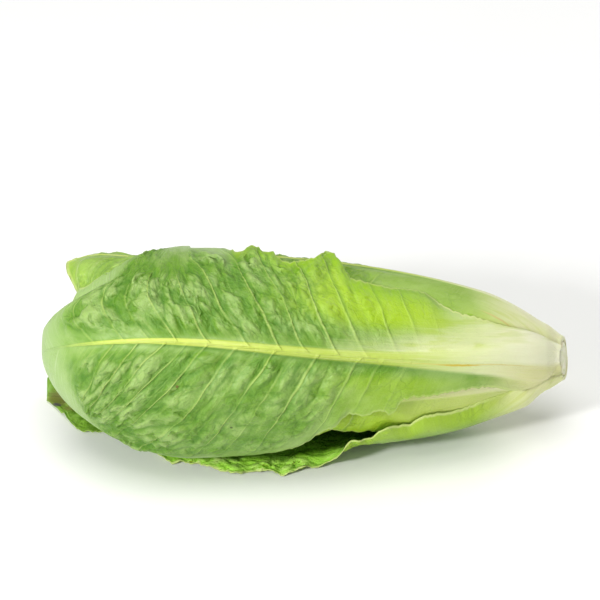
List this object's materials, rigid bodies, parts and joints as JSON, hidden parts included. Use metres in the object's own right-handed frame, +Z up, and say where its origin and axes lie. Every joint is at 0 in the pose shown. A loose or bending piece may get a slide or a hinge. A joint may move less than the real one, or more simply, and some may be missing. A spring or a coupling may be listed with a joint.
{
  "type": "romaine lettuce head",
  "caption": "Whole head of romaine lettuce, cut at the stem and lying on its side, with broad leaves wrapped round a pale heart.",
  "frame": {"origin": "middle of the bounding box, at the height of the surface that the head lies on", "axes": "+X towards the cut end of the stem, along the head; +Z up; -Y towards the side that the picture shows"},
  "size_m": [0.2836, 0.1136, 0.1094],
  "materials": {
    "wrapper_leaf": "waxy, matt green",
    "inner_leaf": "waxy, light green",
    "heart_leaf": "smooth, pale yellow green",
    "stem_flesh": "moist, pale cut flesh"
  },
  "bodies": {
    "root": {"leaf_01_front": "wrapper_leaf", "leaf_02_bottom": "wrapper_leaf", "leaf_03_top": "wrapper_leaf", "leaf_04_side": "wrapper_leaf", "leaf_05": "inner_leaf", "leaf_06": "inner_leaf", "leaf_07": "inner_leaf", "leaf_08": "inner_leaf", "leaf_09": "inner_leaf", "leaf_10": "inner_leaf", "leaf_11": "inner_leaf", "leaf_12": "inner_leaf", "leaf_13": "inner_leaf", "leaf_14": "inner_leaf", "leaf_15": "inner_leaf", "leaf_16": "inner_leaf", "leaf_17": "heart_leaf", "leaf_18": "heart_leaf", "leaf_19": "heart_leaf", "leaf_20": "heart_leaf", "leaf_21": "heart_leaf", "leaf_22": "heart_leaf", "leaf_23": "heart_leaf", "leaf_24": "heart_leaf", "stem": "stem_flesh"}
  },
  "joints": []
}
